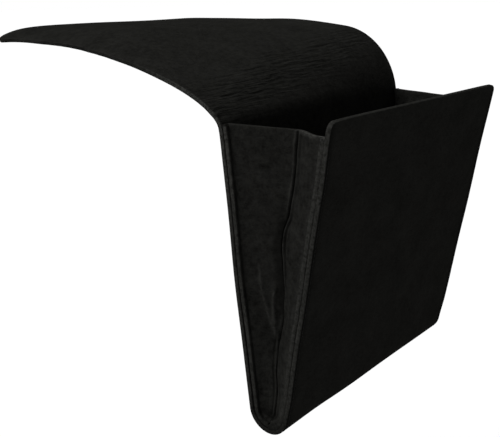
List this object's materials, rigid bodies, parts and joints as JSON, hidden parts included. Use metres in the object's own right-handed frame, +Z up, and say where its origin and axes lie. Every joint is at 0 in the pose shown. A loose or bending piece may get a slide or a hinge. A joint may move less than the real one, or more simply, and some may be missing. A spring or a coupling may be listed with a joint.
{
  "type": "bedside organizer",
  "caption": "Felt bedside pocket with folded side gussets, hanging from a wide flap that tucks under a mattress.",
  "frame": {"origin": "on the underside of the flap's flat stretch, in the middle of the width, where the flap rests on the bed base", "axes": "+X along the width to the far side, +Y into the bed along the flap, +Z up; the pocket hangs at -Y and -Z"},
  "size_m": [0.2506, 0.3872, 0.3053],
  "materials": {
    "flap_felt": "matte",
    "bend_felt": "matte",
    "back_felt": "matte",
    "fold_felt": "matte",
    "front_felt": "matte",
    "left_gusset_felt": "matte",
    "right_gusset_felt": "matte"
  },
  "bodies": {
    "flap": {"flap": "flap_felt", "flap_bend": "bend_felt"},
    "pocket_back": {"back_panel": "back_felt", "bottom_fold": "fold_felt", "left_gusset": "left_gusset_felt", "right_gusset": "right_gusset_felt"},
    "pocket_front": {"front_panel": "front_felt"}
  },
  "joints": [
    {"name": "flap_fold", "type": "hinge", "parent": "flap", "child": "pocket_back", "pos_m": [0, -0.21857, -0.04438], "axis": [1, 0, 0], "range_deg": [-83.9, 90], "deforming": ["flap_bend"]},
    {"name": "mouth_open", "type": "hinge", "parent": "pocket_back", "child": "pocket_front", "pos_m": [0, -0.28427, -0.28569], "axis": [1, 0, 0], "range_deg": [-16, 1], "deforming": ["left_gusset", "right_gusset"]}
  ]
}
